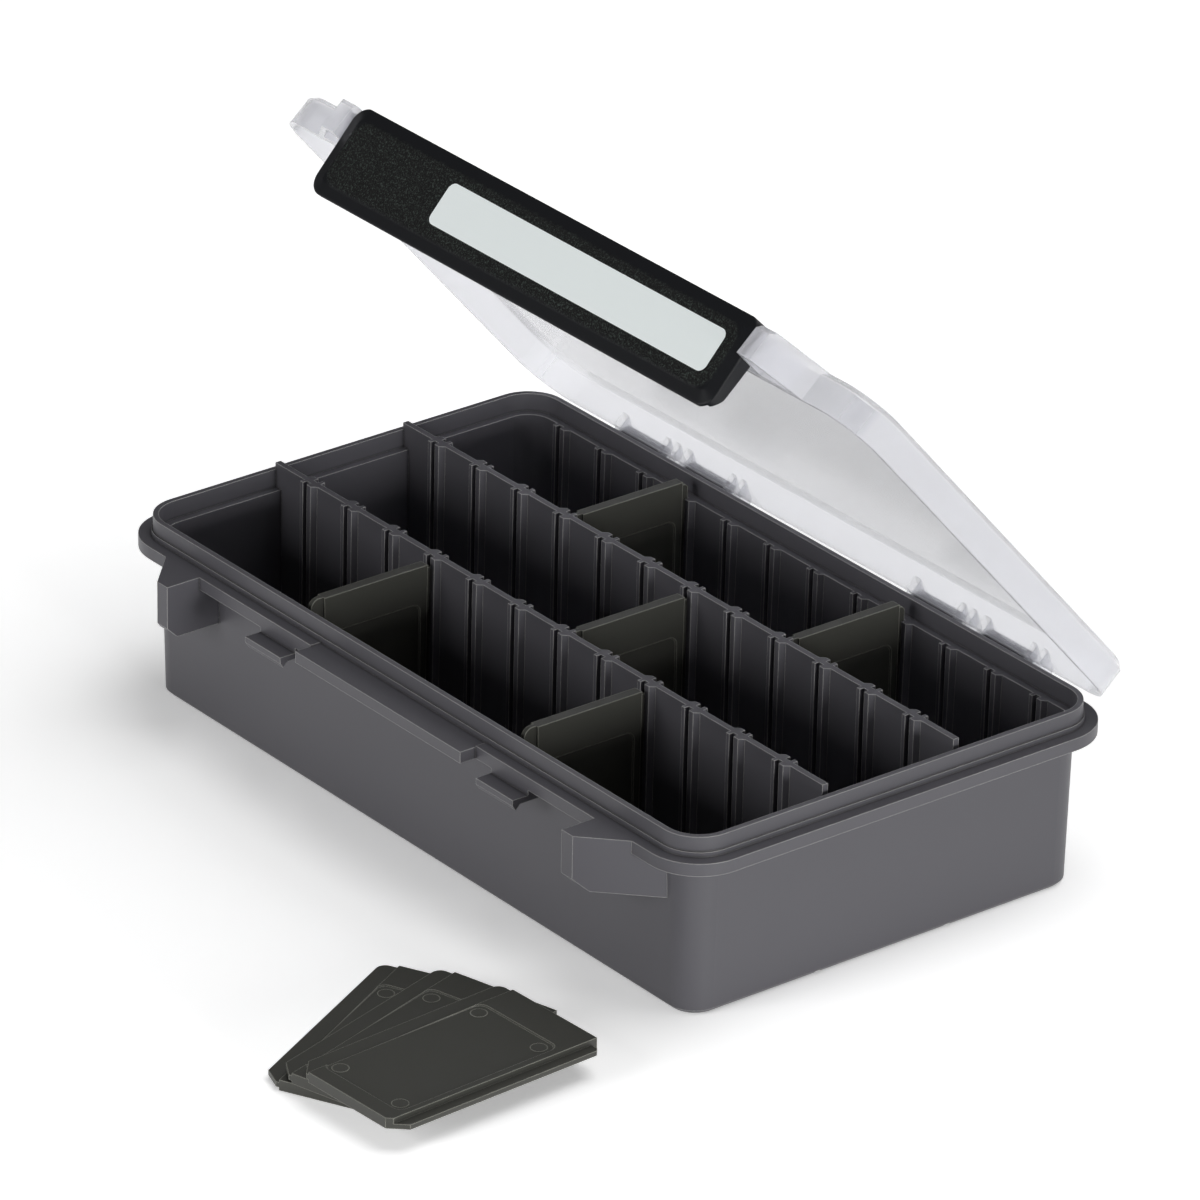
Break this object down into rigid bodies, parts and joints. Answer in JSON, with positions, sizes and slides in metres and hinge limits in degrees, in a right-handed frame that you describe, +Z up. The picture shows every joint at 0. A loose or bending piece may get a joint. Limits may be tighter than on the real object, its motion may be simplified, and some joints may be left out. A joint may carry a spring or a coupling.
{
  "type": "compartment storage box",
  "caption": "Shallow storage box with fixed partitions, removable dividers in grooves, a clear hinged lid and a full-width front latch with a blank label.",
  "frame": {"origin": "middle of the flat underside of the tub, on the ground", "axes": "+X along the box to the right, -Y to the front where the latch is, +Z up"},
  "size_m": [0.2864, 0.2812, 0.1941],
  "materials": {
    "tub_plastic": "satin warm dark grey polypropylene, softly lit rims",
    "lid_plastic": "clear, slightly milky polypropylene, glossy",
    "latch_plastic": "black, pebble-grained face with smooth bevelled borders",
    "label_film": "pale matt writing surface",
    "divider_plastic": "satin dark olive grey",
    "pin_steel": "plain drawn steel"
  },
  "bodies": {
    "base": {"base_tub": "tub_plastic"},
    "lid": {"lid_shell": "lid_plastic", "hinge_pin_1": "pin_steel", "hinge_pin_2": "pin_steel", "hinge_pin_3": "pin_steel", "hinge_pin_4": "pin_steel", "latch_pin_left": "pin_steel", "latch_pin_right": "pin_steel"},
    "latch": {"latch_cover": "latch_plastic", "latch_label": "label_film"},
    "divider_1": {"divider_1": "divider_plastic"},
    "divider_2": {"divider_2": "divider_plastic"},
    "divider_3": {"divider_3": "divider_plastic"},
    "divider_4": {"divider_4": "divider_plastic"},
    "divider_5": {"divider_5": "divider_plastic"},
    "spare_divider_1": {"spare_divider_1": "divider_plastic"},
    "spare_divider_2": {"spare_divider_2": "divider_plastic"},
    "spare_divider_3": {"spare_divider_3": "divider_plastic"}
  },
  "joints": [
    {"name": "lid_hinge", "type": "hinge", "parent": "base", "child": "lid", "pos_m": [0, 0.084, 0.054], "axis": [-1, 0, 0], "range_deg": [-49, 61]},
    {"name": "latch_pivot", "type": "hinge", "parent": "lid", "child": "latch", "pos_m": [0, -0.0228, 0.18906], "axis": [-1, 0, 0], "range_deg": [-5, 100]},
    {"name": "divider_1_lift", "type": "slide", "parent": "base", "child": "divider_1", "axis": [0, 0, 1], "range_m": [0, 0.065]},
    {"name": "divider_2_lift", "type": "slide", "parent": "base", "child": "divider_2", "axis": [0, 0, 1], "range_m": [0, 0.065]},
    {"name": "divider_3_lift", "type": "slide", "parent": "base", "child": "divider_3", "axis": [0, 0, 1], "range_m": [0, 0.065]},
    {"name": "divider_4_lift", "type": "slide", "parent": "base", "child": "divider_4", "axis": [0, 0, 1], "range_m": [0, 0.018]},
    {"name": "divider_5_lift", "type": "slide", "parent": "base", "child": "divider_5", "axis": [0, 0, 1], "range_m": [0, 0.018]},
    {"name": "spare_divider_1_lift", "type": "slide", "parent": "base", "child": "spare_divider_1", "axis": [0, 0, 1], "range_m": [0, 0.06]},
    {"name": "spare_divider_2_lift", "type": "slide", "parent": "spare_divider_1", "child": "spare_divider_2", "axis": [0, 0, 1], "range_m": [0, 0.06]},
    {"name": "spare_divider_3_lift", "type": "slide", "parent": "spare_divider_2", "child": "spare_divider_3", "axis": [0, 0, 1], "range_m": [0, 0.06]}
  ]
}
